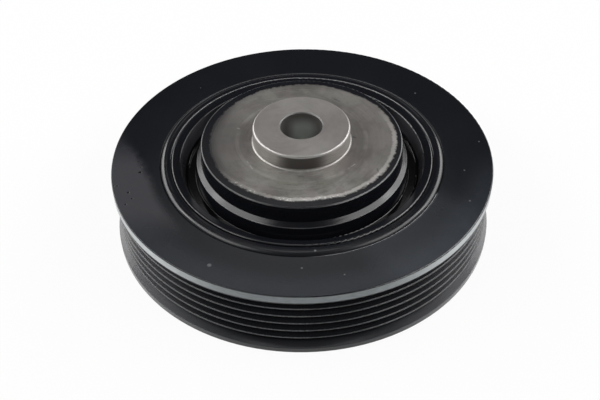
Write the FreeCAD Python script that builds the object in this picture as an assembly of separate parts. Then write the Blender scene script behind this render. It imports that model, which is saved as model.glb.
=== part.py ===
import FreeCAD, Part
import math
import os

# Crankshaft pulley with a torsional damper: a cast hub, a bonded rubber ring round it and a
# grooved outer ring. All three are turned about the Z axis. The outer ring's back face lies in
# the plane Z = 0, and the boss of the hub points up. Sizes are in millimetres.

# Outer ring
RING_WIDTH = 27.5           # from its back face to its flat front face
FLANGE_RADIUS = 70.0        # smooth band between the front face and the first groove
BACK_RIM_RADIUS = 70.35     # smooth band behind the last groove
FLANGE_EDGE_ROUND = 0.35
BACK_RIM_EDGE_ROUND = 0.2
RING_BORE_EDGE_ROUND = 0.35

# Belt grooves of the outer ring
GROOVE_COUNT = 6
GROOVE_PITCH = 3.56
GROOVE_ANGLE = 40.0         # degrees between the two flanks
GROOVE_DEPTH = 2.6
FIRST_GROOVE_OFFSET = 5.65  # from the front face to the middle of the first groove
CREST_RADIUS = 68.9
CREST_FLAT = 0.6
CREST_ROUND = 0.27
ROOT_ROUND = 0.3

# Rubber ring
RUBBER_THICKNESS = 4.2      # between the hub's rim and the outer ring
RUBBER_LIP = 1.69           # above the outer ring's front face, before its shoulder is rounded
RUBBER_LIP_ROUND = 2.0      # outer shoulder of the lip
RUBBER_INNER_DROP = 1.32    # the lip is this much lower at the hub's rim
RUBBER_INNER_ROUND = 0.8
RUBBER_BACK_INSET = 2.0     # from the outer ring's back face
RUBBER_BACK_ROUND = 0.5

# Hub, rim and channel. Heights count from the outer ring's front face.
HUB_RIM_RADIUS = 48.0
HUB_RIM_HEIGHT = 1.2
HUB_RIM_TOP_WIDTH = 3.3
HUB_RIM_TOP_DROP = 1.05     # the rim's top falls this much towards the channel
HUB_RIM_EDGE_ROUND = 0.6    # beside the rubber
HUB_RIM_INNER_ROUND = 0.55  # beside the channel
HUB_BACK_INSET = 1.0        # from the outer ring's back face
CHANNEL_DEPTH = 5.85        # channel between the rim and the shoulder
CHANNEL_OUTER_DRAFT = 1.75  # the rim's inner wall leans in by this much at the foot
CHANNEL_OUTER_ROUND = 1.3
CHANNEL_INNER_DRAFT = 0.55  # the shoulder's wall leans out by this much at the foot
CHANNEL_INNER_ROUND = 0.4

# Hub, shoulder and disc
SHOULDER_RADIUS = 38.75
SHOULDER_HEIGHT = 1.25
SHOULDER_BEVEL_WIDTH = 1.65
SHOULDER_BEVEL_HEIGHT = 1.4
SHOULDER_EDGE_ROUND = 0.12
DISC_RADIUS = 36.7          # at its top edge, from where its wall leans out to the bevel
DISC_HEIGHT = 7.65
DISC_EDGE_ROUND = 0.5

# Hub, boss and bore
BOSS_RADIUS = 17.7
BOSS_HEIGHT = 6.4           # above the disc
BOSS_EDGE_ROUND = 0.85
BOSS_FOOT_ROUND = 0.7
BORE_RADIUS = 7.6
BORE_BEVEL = 0.35

# Hub, relief in the back face
RELIEF_INNER_RADIUS = 27.0
RELIEF_WIDTH = 13.0
RELIEF_DEPTH = 8.0
RELIEF_DRAFT = 1.2
RELIEF_ROUND = 2.0
RELIEF_EDGE_ROUND = 0.6

SHARP = 0.0


def corner_arc(before, corner, after, rounding):
    """Start, middle and end of the arc that rounds a corner, kept within its two sides."""
    side_in = before - corner
    side_out = after - corner
    half_angle = side_in.getAngle(side_out) / 2
    shortest = min(side_in.Length, side_out.Length)
    setback = min(rounding / math.tan(half_angle), 0.65 * shortest)
    radius = setback * math.tan(half_angle)
    towards_in = side_in / side_in.Length
    towards_out = side_out / side_out.Length
    bisector = towards_in + towards_out
    bisector = bisector / bisector.Length
    middle = corner + bisector * (radius / math.sin(half_angle) - radius)
    return corner + towards_in * setback, middle, corner + towards_out * setback


def turned(corners):
    """Solid turned about Z from a closed profile of (radius, height, rounding) corners."""
    points = [FreeCAD.Vector(radius, 0, height) for radius, height, _ in corners]
    edges = []
    exits = []
    entries = []
    for index, (_, _, rounding) in enumerate(corners):
        point = points[index]
        if rounding == SHARP:
            entries.append(point)
            exits.append(point)
            continue
        following = points[(index + 1) % len(points)]
        start, middle, end = corner_arc(points[index - 1], point, following, rounding)
        edges.append(Part.Arc(start, middle, end).toShape())
        entries.append(start)
        exits.append(end)
    for index, exit_point in enumerate(exits):
        entry_point = entries[(index + 1) % len(entries)]
        edges.append(Part.LineSegment(exit_point, entry_point).toShape())
    outline = Part.Wire(Part.__sortEdges__(edges))
    return Part.Face(outline).revolve(FreeCAD.Vector(0, 0, 0), FreeCAD.Vector(0, 0, 1), 360)


def make_hub():
    """Cast hub: bore, boss, disc, bevelled shoulder, channel, rim and the relief in its back."""
    back = HUB_BACK_INSET
    boss_top = RING_WIDTH + DISC_HEIGHT + BOSS_HEIGHT
    disc_top = RING_WIDTH + DISC_HEIGHT
    shoulder_top = RING_WIDTH + SHOULDER_HEIGHT
    rim_top = RING_WIDTH + HUB_RIM_HEIGHT
    rim_inner_radius = HUB_RIM_RADIUS - HUB_RIM_TOP_WIDTH
    channel_floor = RING_WIDTH - CHANNEL_DEPTH
    relief_roof = back + RELIEF_DEPTH
    relief_outer_radius = RELIEF_INNER_RADIUS + RELIEF_WIDTH
    bevel_radius = BORE_RADIUS + BORE_BEVEL
    return turned([
        (bevel_radius, back, SHARP),
        (RELIEF_INNER_RADIUS, back, RELIEF_EDGE_ROUND),
        (RELIEF_INNER_RADIUS + RELIEF_DRAFT, relief_roof, RELIEF_ROUND),
        (relief_outer_radius - RELIEF_DRAFT, relief_roof, RELIEF_ROUND),
        (relief_outer_radius, back, RELIEF_EDGE_ROUND),
        (HUB_RIM_RADIUS, back, HUB_RIM_EDGE_ROUND),
        (HUB_RIM_RADIUS, rim_top, HUB_RIM_EDGE_ROUND),
        (rim_inner_radius, rim_top - HUB_RIM_TOP_DROP, HUB_RIM_INNER_ROUND),
        (rim_inner_radius - CHANNEL_OUTER_DRAFT, channel_floor, CHANNEL_OUTER_ROUND),
        (SHOULDER_RADIUS + CHANNEL_INNER_DRAFT, channel_floor, CHANNEL_INNER_ROUND),
        (SHOULDER_RADIUS, shoulder_top - SHOULDER_BEVEL_HEIGHT, SHOULDER_EDGE_ROUND),
        (SHOULDER_RADIUS - SHOULDER_BEVEL_WIDTH, shoulder_top, SHOULDER_EDGE_ROUND),
        (DISC_RADIUS, disc_top, DISC_EDGE_ROUND),
        (BOSS_RADIUS, disc_top, BOSS_FOOT_ROUND),
        (BOSS_RADIUS, boss_top, BOSS_EDGE_ROUND),
        (bevel_radius, boss_top, SHARP),
        (BORE_RADIUS, boss_top - BORE_BEVEL, SHARP),
        (BORE_RADIUS, back + BORE_BEVEL, SHARP),
    ])


def make_rubber_ring():
    """Rubber ring bonded between the hub's rim and the outer ring, with a round lip in front."""
    outer_radius = HUB_RIM_RADIUS + RUBBER_THICKNESS
    lip_top = RING_WIDTH + RUBBER_LIP
    return turned([
        (HUB_RIM_RADIUS, RUBBER_BACK_INSET, RUBBER_BACK_ROUND),
        (outer_radius, RUBBER_BACK_INSET, RUBBER_BACK_ROUND),
        (outer_radius, lip_top, RUBBER_LIP_ROUND),
        (HUB_RIM_RADIUS, lip_top - RUBBER_INNER_DROP, RUBBER_INNER_ROUND),
    ])


def make_outer_ring():
    """Iron ring with a flat front face, belt grooves and a smooth band on each side of them."""
    slope = math.tan(math.radians(GROOVE_ANGLE / 2))
    root_radius = CREST_RADIUS - GROOVE_DEPTH
    half_mouth = (GROOVE_PITCH - CREST_FLAT) / 2
    half_root = half_mouth - GROOVE_DEPTH * slope
    first_middle = RING_WIDTH - FIRST_GROOVE_OFFSET
    last_middle = first_middle - (GROOVE_COUNT - 1) * GROOVE_PITCH
    back_rim_top = last_middle - half_mouth - (BACK_RIM_RADIUS - CREST_RADIUS) * slope
    flange_bottom = first_middle + half_mouth + (FLANGE_RADIUS - CREST_RADIUS) * slope
    bore_radius = HUB_RIM_RADIUS + RUBBER_THICKNESS
    corners = [
        (bore_radius, 0, RING_BORE_EDGE_ROUND),
        (BACK_RIM_RADIUS, 0, BACK_RIM_EDGE_ROUND),
        (BACK_RIM_RADIUS, back_rim_top, BACK_RIM_EDGE_ROUND),
    ]
    for groove in range(GROOVE_COUNT):
        middle = last_middle + groove * GROOVE_PITCH
        if groove > 0:
            corners.append((CREST_RADIUS, middle - half_mouth, CREST_ROUND))
        corners.append((root_radius, middle - half_root, ROOT_ROUND))
        corners.append((root_radius, middle + half_root, ROOT_ROUND))
        if groove < GROOVE_COUNT - 1:
            corners.append((CREST_RADIUS, middle + half_mouth, CREST_ROUND))
    corners += [
        (FLANGE_RADIUS, flange_bottom, FLANGE_EDGE_ROUND),
        (FLANGE_RADIUS, RING_WIDTH, FLANGE_EDGE_ROUND),
        (bore_radius, RING_WIDTH, RING_BORE_EDGE_ROUND),
    ]
    return turned(corners)


os.makedirs("parts", exist_ok=True)
pieces = {
    "hub": make_hub(),
    "rubber_ring": make_rubber_ring(),
    "outer_ring": make_outer_ring(),
}
for name, shape in pieces.items():
    print(name, shape.isValid(), round(shape.Volume / 1000, 2), "cm3", shape.BoundBox)
    shape.exportStep(f"parts/{name}.step")
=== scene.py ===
import math

import bpy
import bmesh
from mathutils import Matrix, Vector


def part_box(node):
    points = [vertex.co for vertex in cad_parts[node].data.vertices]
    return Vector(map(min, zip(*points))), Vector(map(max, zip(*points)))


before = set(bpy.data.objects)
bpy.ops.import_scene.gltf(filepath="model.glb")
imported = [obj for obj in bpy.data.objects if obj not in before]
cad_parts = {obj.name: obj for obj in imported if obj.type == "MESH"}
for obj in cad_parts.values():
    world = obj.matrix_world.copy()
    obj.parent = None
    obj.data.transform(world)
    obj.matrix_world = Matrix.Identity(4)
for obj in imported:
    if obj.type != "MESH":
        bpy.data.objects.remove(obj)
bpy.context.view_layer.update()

# Outer ring: one iron ring, turned all over, with the belt grooves cut into its side.
# It is sprayed satin black. The flange's edge was wiped or turned bare afterwards, and shows
# a dull bright band. The front face carries dust, small nicks and one dull smear.

MM = 0.001                  # in metres, and all sizes that follow are in mm


class Field:
    """A value that varies over a surface. It wraps one socket, and sums on it add Math nodes."""

    def __init__(self, tree, socket=None):
        self.tree = tree
        self.socket = socket

    def node(self, kind, settings=None, inputs=None, output=0):
        """Adds a node with these settings and these values or links, and wraps one output."""
        made = self.tree.nodes.new(kind)
        for name, value in (settings or {}).items():
            setattr(made, name, value)
        for name, value in (inputs or {}).items():
            if isinstance(value, Field):
                self.tree.links.new(value.socket, made.inputs[name])
            else:
                made.inputs[name].default_value = value
        return Field(self.tree, made.outputs[output])

    def math(self, operation, *values):
        inputs = dict(enumerate(values))
        return self.node("ShaderNodeMath", {"operation": operation}, inputs)

    def __add__(self, other):
        return self.math("ADD", self, other)

    def __sub__(self, other):
        return self.math("SUBTRACT", self, other)

    def __rsub__(self, other):
        return self.math("SUBTRACT", other, self)

    def __mul__(self, other):
        return self.math("MULTIPLY", self, other)

    def __truediv__(self, other):
        return self.math("DIVIDE", self, other)

    def __pow__(self, other):
        return self.math("POWER", self, other)

    __radd__ = __add__
    __rmul__ = __mul__

    def step(self, low, high):
        """Rises smoothly from 0 at low to 1 at high, or falls where high is the smaller."""
        settings = {"interpolation_type": "SMOOTHSTEP"}
        if high > low:
            ends = {"From Min": low, "From Max": high}
        else:
            ends = {"From Min": high, "From Max": low, "To Min": 1.0, "To Max": 0.0}
        return self.node("ShaderNodeMapRange", settings, {"Value": self, **ends})

    def band(self, low, high, soft):
        """1 between low and high, falling to 0 over the distance soft outside them."""
        return self.step(low - soft, low) * self.step(high + soft, high)

    def colour(self, off, on):
        """The colour off where this mask is 0, and on where it is 1."""
        # Places of the sockets on a Mix node that mixes colours
        factor, first, second, result = 0, 6, 7, 2
        inputs = {factor: self, first: off, second: on}
        return self.node("ShaderNodeMix", {"data_type": "RGBA"}, inputs, result)

    def noise(self, scale, detail=2.0, roughness=0.5):
        """Noise between 0 and 1 at this vector, with its scale in turns per unit."""
        inputs = {"Vector": self, "Scale": scale, "Detail": detail, "Roughness": roughness}
        return self.node("ShaderNodeTexNoise", None, inputs)

    def bump(self, distance):
        """Normal of a surface that stands this height, times distance in metres, proud."""
        inputs = {"Strength": 1.0, "Distance": distance, "Height": self}
        return self.node("ShaderNodeBump", None, inputs)


def finish_on(node, name):
    """Gives a CAD piece a new material, and returns its shader and its coordinates in mm."""
    material = bpy.data.materials.new(name)
    material.use_nodes = True
    tree = material.node_tree
    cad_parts[node].material_slots[0].material = material
    shader = tree.nodes["Principled BSDF"]
    place = Field(tree).node("ShaderNodeTexCoord", output="Object")
    inputs = {0: place, "Scale": 1 / MM}
    return shader, place.node("ShaderNodeVectorMath", {"operation": "SCALE"}, inputs)


def lay(shader, **values):
    """Sets or links the sockets of a shader."""
    for name, value in values.items():
        socket = shader.inputs[name.replace("_", " ")]
        if isinstance(value, Field):
            value.tree.links.new(value.socket, socket)
        else:
            socket.default_value = value


def split(place):
    """The x, y and z of a place, and its distance from the axis."""
    parts = [place.node("ShaderNodeSeparateXYZ", None, {0: place}, axis) for axis in range(3)]
    radius = (parts[0] * parts[0] + parts[1] * parts[1]) ** 0.5
    return parts[0], parts[1], parts[2], radius


def round_the_axis(place, turns, radial, along):
    """Coordinates for marks that run round the axis: fewer turns make them longer."""
    x, y, z, radius = split(place)
    return place.node("ShaderNodeCombineXYZ", None, {
        "X": x / radius * turns + radius * radial,
        "Y": y / radius * turns,
        "Z": z * along,
    })


def near(x, y, spot_x, spot_y, size):
    """1 in the middle of a round spot on a face, falling to 0 at its edge."""
    distance = ((x - spot_x) ** 2.0 + (y - spot_y) ** 2.0) ** 0.5
    return distance.step(size, size * 0.55)


def spots(x, y, places):
    """All the spots of a list together."""
    total = 0.0
    for spot_x, spot_y, size in places:
        total = near(x, y, spot_x, spot_y, size) + total
    return total


RING_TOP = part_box("outer_ring")[1].z / MM
RING_BORE_RADIUS = 52.2
FLANGE_RADIUS = 70.0
BAND_DEPTH = 3.3            # the bare band ends this far below the front face
HIGHLIGHT_DEPTH = 4.2            # a painted highlight on the side starts this far below it, in the first groove
RIB_DEPTH = 6.0             # the first rib's top lies deeper than this
RIB_RADIUS = 68.9           # of the ribs' tops, between the belt grooves
RIM_DUST_TOP = 2.8          # the back rim and the slope behind it are dusty up to this height
RING_DUST = [               # x, y and size of pale specks on the front face
    (45.5, 37.2, 0.45), (66.3, 6.1, 0.4), (58.7, -10.1, 0.4), (58.4, -26.5, 0.45),
    (13.0, -60.7, 0.4), (-0.8, -57.4, 0.45), (-40.0, 43.5, 0.3), (-31.2, -55.3, 0.9),
]
RING_NICKS = [              # the same for dark nicks
    (-59.0, -7.9, 0.75), (-60.0, -1.9, 0.5), (-62.0, -18.7, 0.6), (-60.3, -22.1, 0.5),
    (-62.2, -25.0, 0.45), (-58.9, -5.2, 0.4), (-67.6, -15.2, 0.5), (-66.4, -15.1, 0.45),
]
HAZE_AND_SHEEN_SPOT = (41.0, -43.0, 28.0)

RING_PAINT_DARK = (0.0042, 0.005, 0.0068, 1)
RING_PAINT_PALE = (0.0074, 0.0084, 0.0108, 1)
HAZE_AND_SHEEN = (0.043, 0.049, 0.059, 1)
DULL_FILM = (0.040, 0.040, 0.0455, 1)
EDGE_DUST = (0.06, 0.062, 0.066, 1)
SIDE_HIGHLIGHT = (0.13, 0.13, 0.138, 1)
CLEAN_STEEL_DARK = (0.47, 0.50, 0.51, 1)
CLEAN_STEEL_PALE = (0.62, 0.645, 0.655, 1)
# Painted shade: the bare band's darker colours, used in front
SHADED_STEEL_DARK = (0.145, 0.16, 0.165, 1)
SHADED_STEEL_PALE = (0.20, 0.215, 0.22, 1)
BRUISED_EDGE = (0.5, 0.5, 0.52, 1)
DUST_SPECK = (0.42, 0.42, 0.43, 1)
DARK_NICK = (0.004, 0.004, 0.005, 1)

shader, place = finish_on("outer_ring", "satin_black_ring")
x, y, z, radius = split(place)
front = y / radius * -1.0   # 1 in front, 0 at the sides and -1 behind
mottle = place.noise(0.035, 3.0)
grain = place.noise(2.2, 2.0)
peel = place.noise(0.55, 2.0)
streaks = round_the_axis(place, 30.0, 0.0, 3.5).noise(1.0, 3.0)

# On the front face: specks, nicks, a dull film on the left, and towards the front a haze that is
# partly a painted sheen
face = z.step(RING_TOP - 0.2, RING_TOP - 0.05)
dust = spots(x, y, RING_DUST) * face * 0.2
nicks = spots(x, y, RING_NICKS) * face * grain.step(0.2, 0.5)
film_edge = x + 0.53 * y + 10.0 * place.noise(0.11, 3.0)
film = film_edge.step(-53.0, -58.0) * y.step(-46.0, -26.0) * y.step(20.0, -8.0)
film = film * radius.step(53.5, 58.5) * face * (0.75 + 0.55 * mottle) * (1 - nicks)
# Haze and painted sheen: the outer front half of the face and one spot are coloured paler and
# bluish
haze_and_sheen = radius.step(57.0, 68.5) * front.step(-0.1, 0.4) * 0.37 + near(x, y, *HAZE_AND_SHEEN_SPOT) * 0.28
haze_and_sheen = haze_and_sheen * (0.75 + 0.5 * place.noise(0.22, 4.0, 0.6)) * face

# On the bore's edge, at the front right: cuts that show metal
cuts = radius.step(RING_BORE_RADIUS + 0.34, RING_BORE_RADIUS + 0.22)
rub = radius.band(RING_BORE_RADIUS + 0.62, RING_BORE_RADIUS + 0.68, 0.08) * x.step(20.0, 34.0)
bruise = (cuts + rub * 0.12) * z.step(RING_TOP - 0.35, RING_TOP - 0.22)
bruise = bruise * x.step(-1.0, 12.0) * front.step(0.41, 0.45)

# On the side: the bare band, coloured darker in front as painted shade, dust on the rib tops and
# the back rim, and a painted highlight on the grooves and the rim at the left and right
bare = z.band(RING_TOP - BAND_DEPTH + 0.1, RING_TOP - 0.65, 0.12)
bare = bare * radius.step(FLANGE_RADIUS - 0.35, FLANGE_RADIUS - 0.1)
# Painted shade: the bare band is coloured darker in front than at the left and right
front_shade = front.step(0.66, 0.99)
rib_tops = radius.step(RIB_RADIUS - 0.2, RIB_RADIUS - 0.05) * grain.step(0.3, 0.6)
rib_tops = rib_tops * z.band(RIM_DUST_TOP + 1.0, RING_TOP - RIB_DEPTH, 0.5)
back_rim = z.step(RIM_DUST_TOP + 0.6, RIM_DUST_TOP)
rim_dust = back_rim * (0.5 + 0.4 * mottle.step(0.3, 0.7))
rim_dust = rim_dust * (front.step(1.02, 0.8) * 0.75 + 0.25)
# Painted highlight: the grooves and the back rim are coloured paler at the left and right than in
# front
side_highlight = z.step(RING_TOP - HIGHLIGHT_DEPTH, RING_TOP - HIGHLIGHT_DEPTH - 0.6)
side_highlight = side_highlight * (front.step(0.93, 0.61) + 0.08) * (0.3 + 0.35 * back_rim)
foot = z.step(0.5, 0.2)

paint = mottle.colour(RING_PAINT_DARK, RING_PAINT_PALE)
paint = haze_and_sheen.colour(paint, HAZE_AND_SHEEN)
paint = film.colour(paint, DULL_FILM)
paint = (rim_dust + rib_tops * 0.8).colour(paint, EDGE_DUST)
paint = side_highlight.colour(paint, SIDE_HIGHLIGHT)
clean_steel = streaks.step(0.3, 0.75).colour(CLEAN_STEEL_DARK, CLEAN_STEEL_PALE)
shaded_steel = streaks.step(0.3, 0.75).colour(SHADED_STEEL_DARK, SHADED_STEEL_PALE)
colour = bare.colour(paint, front_shade.colour(clean_steel, shaded_steel))
colour = bruise.colour(colour, BRUISED_EDGE)
colour = dust.colour(colour, DUST_SPECK)
colour = nicks.colour(colour, DARK_NICK)
paint_roughness = 0.16 + 0.05 * mottle + 0.16 * film + 0.03 * grain + 0.3 * foot
steel_roughness = 0.30 + 0.14 * streaks
relief = peel * 0.7 + grain * 0.3 - nicks * 3.0
lay(
    shader,
    Base_Color=colour,
    Metallic=bare,
    Roughness=paint_roughness * (1 - bare) + steel_roughness * bare,
    Anisotropic=0.5,
    Normal=relief.bump(0.02 * MM),
)

# Rubber ring: moulded black rubber, bonded between the hub's rim and the outer ring. Its round
# lip stands above the ring's face, about level with the rim's edge. It was sprayed with the rest,
# so it is as black as they are. At the back, a thin grey line along its inner edge is a painted
# highlight.

EDGE_HIGHLIGHT_RADIUS = 48.6         # outer edge of the painted highlight, beside the hub
PALE_SPOT = (3.7, -50.4, 0.45)

INNER_PAINT_DARK = (0.005, 0.0055, 0.0075, 1)
INNER_PAINT_PALE = (0.008, 0.0085, 0.011, 1)
RUBBER_EDGE_HIGHLIGHT = (0.34, 0.34, 0.345, 1)
PALE_SPECK = (0.16, 0.16, 0.16, 1)

shader, place = finish_on("rubber_ring", "painted_rubber")
x, y, z, radius = split(place)
front = y / radius * -1.0
waves = round_the_axis(place, 2.5, 0.0, 0.2).noise(1.0, 2.0)
grain = place.noise(1.6, 3.0)
speck = near(x, y, *PALE_SPOT)
# Painted highlight: a thin grey line along the inner edge, at the back
back_edge_highlight = radius.step(EDGE_HIGHLIGHT_RADIUS, EDGE_HIGHLIGHT_RADIUS - 0.25) * front.step(0.1, -0.3)
back_edge_highlight = back_edge_highlight * z.step(RING_TOP - 0.3, RING_TOP + 0.1) * (0.5 + 0.6 * waves)
colour = waves.colour(INNER_PAINT_DARK, INNER_PAINT_PALE)
colour = back_edge_highlight.colour(colour, RUBBER_EDGE_HIGHLIGHT)
relief = grain * 0.5 + waves * 2.0
lay(
    shader,
    Base_Color=speck.colour(colour, PALE_SPECK),
    Roughness=0.13 + 0.08 * grain + front.step(0.55, 0.95) * 0.16,
    Normal=relief.bump(0.03 * MM),
)

# Hub: one iron casting, turned on its front. The disc and the boss were masked when it was
# sprayed black, so they show dull, stained grey iron with turning marks. The paint ends in a
# ragged edge near the disc's rim, with an overspray on the left and bright flecks in front.


def stroke(x, y, start, end, width):
    """1 on a thin straight scratch between two (x, y) places, and 0 beside it."""
    along_x = end[0] - start[0]
    along_y = end[1] - start[1]
    square = along_x * along_x + along_y * along_y
    part = (x - start[0]) * (along_x / square) + (y - start[1]) * (along_y / square)
    part = part.math("MINIMUM", part.math("MAXIMUM", part, 0.0), 1.0)
    off_x = x - start[0] - part * along_x
    off_y = y - start[1] - part * along_y
    distance = (off_x * off_x + off_y * off_y) ** 0.5
    return distance.step(width, width * 0.4)


def strokes(x, y, places):
    """All the scratches of a list together."""
    total = 0.0
    for start, end, width in places:
        total = stroke(x, y, start, end, width) + total
    return total


BOSS_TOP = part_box("hub")[1].z / MM
BOSS_RADIUS = 17.7
BORE_RADIUS = 7.6
DISC_TOP = RING_TOP + 7.65
DISC_RADIUS = 36.7
SHOULDER_TOP = RING_TOP + 1.25
SHOULDER_RADIUS = 38.75
RIM_TOP = RING_TOP + 1.2
RIM_RADIUS = 48.0
CHANNEL_FLOOR = RING_TOP - 5.85
FLOOR_RADII = (39.4, 44.4)  # the channel's floor and the foot of its wall lie between these
WALL_RADII = (42.7, 44.6)   # the same for its outer wall, which leans out
RUB_RADII = (23.2, 23.9)    # the same for a pale ring rubbed into the disc
PAINT_EDGE = 33.9           # mean radius where the paint on the disc ends
PAINT_SHIFT = (0.35, 0.15)  # middle of the bare round, beside the axis
DISC_SCRATCHES = [          # start, end and width of dark scratches on the disc
    ((26.3, -17.2), (26.9, -19.8), 0.3), ((13.0, 23.9), (14.6, 22.6), 0.35),
    ((12.4, 22.9), (12.9, 21.8), 0.3), ((18.9, 0.8), (19.6, 0.4), 0.5),
    ((-1.4, -20.6), (0.4, -20.7), 0.28), ((-6.4, -24.6), (-1.6, -25.2), 0.18),
    ((4.0, -24.9), (7.2, -24.7), 0.18), ((-24.0, -23.6), (-22.8, -24.2), 0.3),
]
DISC_GLINTS = [             # the same for bright ones
    ((-10.9, 22.4), (-8.6, 20.2), 0.3), ((-23.6, 7.4), (-22.9, 6.8), 0.4),
    ((-19.6, -11.6), (-17.6, -16.0), 0.2), ((16.4, -16.6), (18.6, -14.6), 0.3),
]

LIT_WALL_PAINT = (0.022, 0.023, 0.026, 1)
WALL_SIDE_LIGHT = (0.09, 0.09, 0.10, 1)
CHANNEL_SHADE = (0.003, 0.003, 0.004, 1)
IRON_DARK = (0.172, 0.163, 0.15, 1)
IRON_PALE = (0.34, 0.33, 0.308, 1)
BACK_SHADE = (0.11, 0.106, 0.10, 1)
GREEN_STAIN = (0.27, 0.275, 0.232, 1)
RUST_STAIN = (0.235, 0.195, 0.185, 1)
OIL_SPOTS = (0.14, 0.13, 0.112, 1)
TURNING_MARKS = (0.46, 0.44, 0.42, 1)
SIDE_SHADE = (0.275, 0.25, 0.243, 1)
RUBBED_IRON = (0.6, 0.57, 0.54, 1)
BOSS_FACE = (0.37, 0.345, 0.335, 1)
LEFT_STAIN = (0.13, 0.125, 0.12, 1)
BOSS_SIDE_DARK = (0.35, 0.332, 0.315, 1)
BOSS_SIDE_PALE = (0.46, 0.44, 0.42, 1)
BOSS_SIDE_SHADE = (0.115, 0.105, 0.10, 1)
BOSS_EDGE_HIGHLIGHT = (0.44, 0.425, 0.41, 1)
BOSS_EDGE_SHADE = (0.09, 0.086, 0.08, 1)
BOSS_FOOT_HIGHLIGHT = (0.66, 0.635, 0.61, 1)
BORE_DARK = (0.20, 0.19, 0.18, 1)
BORE_REFLECTION = (0.72, 0.755, 0.72, 1)
BORE_LIP_SHADE = (0.10, 0.10, 0.10, 1)
DARK_SCRATCH = (0.07, 0.07, 0.07, 1)
BRIGHT_FLECK = (0.85, 0.83, 0.80, 1)
WORN_EDGE_HIGHLIGHT = (0.5, 0.5, 0.5, 1)

shader, place = finish_on("hub", "turned_iron_and_paint")
x, y, z, radius = split(place)
front = y / radius * -1.0
front_right = (x - y).step(8.0, 34.0)
left = x.step(-17.0, -31.0) * front.step(0.9, 0.4)
cloud = place.noise(0.08, 4.0, 0.6)
patch = place.noise(0.11, 3.0)
fine = place.noise(0.9, 3.0)
turned = round_the_axis(place, 1.2, 3.2, 0.0).noise(1.0, 3.0, 0.65)
turned_side = round_the_axis(place, 5.0, 0.0, 2.5).noise(1.0, 3.0)
stain = round_the_axis(place, 2.4, 0.30, 0.0).noise(1.0, 4.0, 0.6)

# The boss: its face, its rounded edge, its side and foot, and the bore with a bevelled lip. The
# edge, side, foot, bore and lip carry painted highlights, painted shade and a painted reflection
boss_face = z.step(BOSS_TOP - 0.3, BOSS_TOP - 0.1)
boss_edge = z.band(BOSS_TOP - 0.95, BOSS_TOP - 0.1, 0.1)
boss_edge = boss_edge * radius.step(BOSS_RADIUS - 1.0, BOSS_RADIUS - 0.5)
boss_side = z.band(DISC_TOP + 0.9, BOSS_TOP - 0.9, 0.2)
boss_side = boss_side * radius.step(BOSS_RADIUS - 0.5, BOSS_RADIUS - 0.1)
boss_side_shade = front.step(0.83, 0.98) + front.step(0.3, -0.1) * 0.6
# Painted highlight: a pale line round the boss's foot, to the front left and right
boss_foot_highlight = z.band(DISC_TOP + 0.08, DISC_TOP + 0.5, 0.1)
boss_foot_highlight = boss_foot_highlight * radius.band(BOSS_RADIUS + 0.1, BOSS_RADIUS + 0.6, 0.2)
boss_foot_highlight = boss_foot_highlight * front.step(-0.3, 0.4) * front.step(1.05, 0.75)
bore = radius.step(BORE_RADIUS + 0.2, BORE_RADIUS + 0.05)
# Painted reflection: a pale greenish streak down the middle of the bore's far wall
bore_reflection = x.band(-1.5, 2.5, 4.5) * z.step(BOSS_TOP - 1.0, BOSS_TOP - 7.0)
bore_lip = radius.step(BORE_RADIUS + 0.5, BORE_RADIUS + 0.35)
bore_lip = bore_lip * z.step(BOSS_TOP - 0.45, BOSS_TOP - 0.33) * z.step(BOSS_TOP, BOSS_TOP - 0.03)

# The disc: where its paint ends, with the flecks along it, and what marks the bare iron
on_top = z.step(DISC_TOP - 0.35, DISC_TOP - 0.1)
on_disc = on_top * z.step(DISC_TOP + 0.5, DISC_TOP + 0.2)
from_middle = ((x - PAINT_SHIFT[0]) ** 2.0 + (y - PAINT_SHIFT[1]) ** 2.0) ** 0.5
ragged = from_middle + place.noise(0.5, 4.0, 0.7) * 2.4 + place.noise(0.045, 1.0) * 2.6 - 2.5
overspray = from_middle.step(29.5, 34.0) * left * 0.8
bare = ragged.step(PAINT_EDGE + 0.4, PAINT_EDGE - 0.6) * on_top
bare = bare.math("MAXIMUM", bare * (1 - overspray), bore)
burr = ragged.band(PAINT_EDGE - 1.3, PAINT_EDGE - 0.6, 0.8) * on_disc
burr = burr * (front_right + front.step(0.3, 0.7) * 0.4)
chips = ragged.band(PAINT_EDGE - 1.2, PAINT_EDGE - 0.3, 0.4) * on_disc * front.step(0.5, 0.75)
chips = chips * place.noise(1.3, 2.0).step(0.56, 0.62) * place.noise(0.16, 1.0).step(0.46, 0.58)
scratches = strokes(x, y, DISC_SCRATCHES) * on_disc * fine.step(0.3, 0.55)
glints = strokes(x, y, DISC_GLINTS) * on_disc * fine.step(0.35, 0.6)
oil_spots = place.noise(0.5, 5.0, 0.7).step(0.52, 0.66) * on_disc
rubbed = radius.band(*RUB_RADII, 0.7) * on_disc * cloud.step(0.35, 0.6)
dull_front = on_disc * radius.step(25.0, 19.5) * front.step(0.45, 0.95)

# The shoulder, the channel and the rim: hatched bevel, worn edges with a painted highlight, a
# wall coloured paler as painted light, and a floor coloured darker as painted shade
bevel = z.band(SHOULDER_TOP - 1.4, SHOULDER_TOP, 0.05)
bevel = bevel * radius.band(SHOULDER_RADIUS - 1.8, SHOULDER_RADIUS + 0.05, 0.1)
hatch = round_the_axis(place, 7.0, 2.2, 0.0).noise(1.0, 2.0) * bevel
disc_edge = z.band(DISC_TOP - 0.45, DISC_TOP - 0.04, 0.1)
disc_edge = disc_edge * radius.step(DISC_RADIUS - 0.6, DISC_RADIUS - 0.35)
disc_edge = disc_edge * front.step(-0.95, -0.6) * front.step(1.04, 0.9)
shoulder_edge = z.band(SHOULDER_TOP - 1.55, SHOULDER_TOP - 1.3, 0.08)
shoulder_edge = shoulder_edge * radius.band(SHOULDER_RADIUS - 0.2, SHOULDER_RADIUS + 0.1, 0.1)
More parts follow.
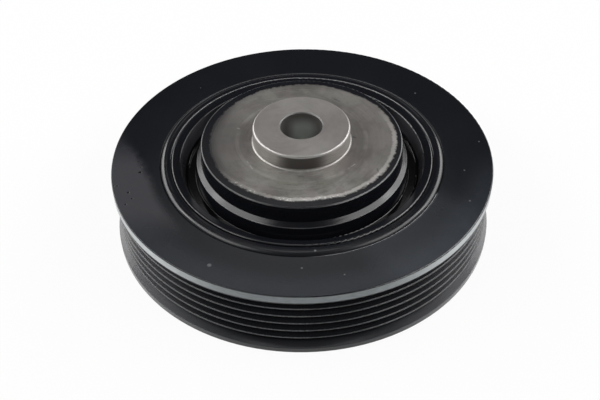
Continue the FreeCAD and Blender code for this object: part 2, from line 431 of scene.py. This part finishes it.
rim_edge = z.step(RIM_TOP - 0.6, RIM_TOP - 0.4) * radius.step(RIM_RADIUS - 0.6, RIM_RADIUS - 0.25)
# Edge wear and painted highlight: the disc's edge, the bevel's foot and the rim's edge are
# coloured paler and partly metallic, the disc's edge not at the back
wear_and_highlight = (disc_edge + shoulder_edge) * (0.10 + 0.12 * cloud.step(0.35, 0.65)) + rim_edge * 0.05
channel = z.step(CHANNEL_FLOOR + 1.6, CHANNEL_FLOOR + 0.4) * radius.band(*FLOOR_RADII, 0.2)
wall = z.band(CHANNEL_FLOOR + 0.9, RING_TOP - 0.2, 0.5) * radius.band(*WALL_RADII, 0.2)
# Painted light: the channel's outer wall is coloured paler than the paint, most at the left and
# right, where no light reaches it
lit_wall_colour = (front * front).step(0.45, 0.1).colour(LIT_WALL_PAINT, WALL_SIDE_LIGHT)

paint = cloud.colour(INNER_PAINT_DARK, INNER_PAINT_PALE)
paint = wall.colour(paint, lit_wall_colour)
# Painted shade: the channel's floor is coloured darker than the paint
paint = channel.colour(paint, CHANNEL_SHADE)

iron = (cloud * 0.62 + stain * 0.38).step(0.38, 0.62).colour(IRON_DARK, IRON_PALE)
# Painted shade: the disc's iron is coloured darker behind and towards the sides
iron = (front.step(0.75, -0.1) * on_disc * 0.3).colour(iron, BACK_SHADE)
iron = (patch.step(0.5, 0.66) * 0.65).colour(iron, GREEN_STAIN)
iron = (patch.step(0.46, 0.34) * 0.45).colour(iron, RUST_STAIN)
iron = (oil_spots * 0.3).colour(iron, OIL_SPOTS)
iron = (turned.step(0.45, 0.75) * 0.3).colour(iron, TURNING_MARKS)
# Painted shade: the iron is coloured darker and warmer at the left and right
iron = ((1 - front * front) * 0.45).colour(iron, SIDE_SHADE)
iron = (rubbed * 0.22).colour(iron, RUBBED_IRON)
iron = (boss_face * 0.5).colour(iron, BOSS_FACE)
iron = (left * on_disc * 0.55).colour(iron, LEFT_STAIN)
boss_side_colour = turned_side.step(0.3, 0.7).colour(BOSS_SIDE_DARK, BOSS_SIDE_PALE)
iron = boss_side.colour(iron, boss_side_colour)
# Painted shade: the boss's side is coloured darker in front and behind than at the left and right
iron = (boss_side * boss_side_shade).colour(iron, BOSS_SIDE_SHADE)
# Painted highlight and shade: the boss's rounded edge is coloured paler in front and darker
# behind
iron = (boss_edge * front.step(-0.5, 0.1) * 0.8).colour(iron, BOSS_EDGE_HIGHLIGHT)
iron = (boss_edge * front.step(-0.3, -0.7) * 0.75).colour(iron, BOSS_EDGE_SHADE)
iron = (boss_foot_highlight * 0.5).colour(iron, BOSS_FOOT_HIGHLIGHT)
iron = bore.colour(iron, bore_reflection.colour(BORE_DARK, BORE_REFLECTION))
# Painted shade: the bore's bevelled lip is coloured dark
iron = (bore_lip * 0.8).colour(iron, BORE_LIP_SHADE)
iron = (scratches * 0.6).colour(iron, DARK_SCRATCH)
iron = (glints * 0.45 + burr * 0.36 + chips).colour(iron, BRIGHT_FLECK)

colour = bare.colour(paint, iron)
colour = wear_and_highlight.colour(colour, WORN_EDGE_HIGHLIGHT)
paint_roughness = 0.13 + 0.06 * cloud + 0.12 * hatch + 0.04 * on_top - 0.08 * channel
iron_roughness = 0.42 + 0.14 * cloud - 0.14 * boss_edge * front.step(-0.75, -0.2)
relief = turned * (0.25 + bare * 0.6) + fine * 0.35 + hatch * 1.6
lay(
    shader,
    Base_Color=colour,
    Metallic=bare * (0.72 - 0.3 * dull_front) + wear_and_highlight,
    Roughness=paint_roughness * (1 - bare) + iron_roughness * bare,
    Anisotropic=0.35,
    Normal=relief.bump(0.02 * MM),
)

# Studio: a pale floor that glows white and keeps a faint shadow, six soft lights, and a room
# that is white to the camera, but dim to shiny surfaces above its horizon.

SOFTBOX_DISTANCE = 1.2      # in metres, as are the widths and heights
SOFTBOXES = [               # name, azimuth, elevation, width, height and radiance
    ("left_front_softbox", -76, 40, 1.08, 0.64, 3.6),
    ("left_back_softbox", -122, 24.5, 1.08, 0.62, 3.8),
    ("right_front_softbox", 76, 40, 1.08, 0.64, 3.6),
    ("right_back_softbox", 121, 24.5, 1.08, 0.62, 3.8),
    ("back_softbox", 180, 48.0, 0.45, 0.164, 0.70),
    ("overhead_softbox", 180, 86, 0.6, 0.36, 2.0),
]
FLOOR_REACH = 6.0           # in metres, from its middle to each side
FLOOR_DROP = 0.02           # the floor lies this far below the ring's back face
WHITE = (1, 1, 1, 1)
FLOOR_GREY = (0.8, 0.8, 0.8, 1)
DIM_ROOM = (0.035, 0.035, 0.037, 1)


def softbox(name, azimuth, elevation, width, height, radiance):
    """A soft light that faces the object. Azimuth 0 is the camera's side, 90 is +X."""
    data = bpy.data.lights.new(name, "AREA")
    data.shape = "RECTANGLE"
    data.size = width
    data.size_y = height
    data.energy = radiance * math.pi * width * height
    lamp = bpy.data.objects.new(name, data)
    bpy.context.collection.objects.link(lamp)
    turn = math.radians(azimuth)
    rise = math.radians(elevation)
    towards = Vector((
        math.sin(turn) * math.cos(rise),
        -math.cos(turn) * math.cos(rise),
        math.sin(rise),
    ))
    lamp.matrix_world = Matrix.Translation(towards * SOFTBOX_DISTANCE) @ (
        towards.to_track_quat("Z", "Y").to_matrix().to_4x4())
    lamp.visible_camera = False


def rays(start):
    """1 for rays that come from the camera, from a shiny surface and through a clear one."""
    kinds = ("Is Camera Ray", "Is Glossy Ray", "Is Transmission Ray")
    return [start.node("ShaderNodeLightPath", output=kind) for kind in kinds]


for row in SOFTBOXES:
    softbox(*row)

floor_mesh = bpy.data.meshes.new("floor")
shape = bmesh.new()
bmesh.ops.create_grid(shape, x_segments=1, y_segments=1, size=FLOOR_REACH)
shape.to_mesh(floor_mesh)
shape.free()
floor = bpy.data.objects.new("floor", floor_mesh)
bpy.context.collection.objects.link(floor)
floor.location.z = -FLOOR_DROP * MM

floor_material = bpy.data.materials.new("pale_floor")
floor_material.use_nodes = True
floor_tree = floor_material.node_tree
floor_mesh.materials.append(floor_material)
floor_tree.nodes.remove(floor_tree.nodes["Principled BSDF"])
start = Field(floor_tree)
camera_ray, shiny_ray, clear_ray = rays(start)
seen = start.math("MINIMUM", camera_ray + shiny_ray + clear_ray, 1.0)
matt = start.node("ShaderNodeBsdfDiffuse", None, {"Color": FLOOR_GREY})
glow = start.node("ShaderNodeEmission", None, {"Color": WHITE, "Strength": 1.0})
surface = start.node("ShaderNodeMixShader", None, {0: seen * 0.93, 1: matt, 2: glow})
floor_tree.links.new(surface.socket, floor_tree.nodes["Material Output"].inputs["Surface"])

world = bpy.data.worlds.new("room")
bpy.context.scene.world = world
world.use_nodes = True
room_tree = world.node_tree
start = Field(room_tree)
camera_ray, shiny_ray, clear_ray = rays(start)
direction = start.node("ShaderNodeTexCoord", output="Generated")
height = direction.node("ShaderNodeSeparateXYZ", None, {0: direction}, 2)
horizon = height.step(0.26, 0.0)
seen = start.math("MINIMUM", camera_ray + (shiny_ray + clear_ray) * horizon, 1.0)
lay(room_tree.nodes["Background"], Color=seen.colour(DIM_ROOM, WHITE), Strength=1.0)

scene = bpy.context.scene
scene.view_settings.view_transform = "Standard"

# Camera: in front of the pulley and 42 degrees above it, on a long lens, and rolled by a
# degree. It aims 11 mm in front of the axis, about halfway up the ring.

CAMERA_DISTANCE = 369.4     # in mm again, as is the point that it aims at
CAMERA_ELEVATION = math.radians(42.38)
CAMERA_ROLL = math.radians(-1.09)
CAMERA_AIM = Vector((-1.0, -11.09, 15.35))

camera_data = bpy.data.cameras.new("camera")
camera_data.lens = 60.0
camera_data.sensor_width = 36.0
camera = bpy.data.objects.new("camera", camera_data)
bpy.context.collection.objects.link(camera)
scene.camera = camera
tilt = Matrix.Rotation(math.pi / 2 - CAMERA_ELEVATION, 4, "X")
roll = Matrix.Rotation(CAMERA_ROLL, 4, "Z")
attitude = tilt @ roll
stand = CAMERA_AIM + attitude.to_3x3() @ Vector((0, 0, CAMERA_DISTANCE))
camera.matrix_world = Matrix.Translation(stand * MM) @ attitude
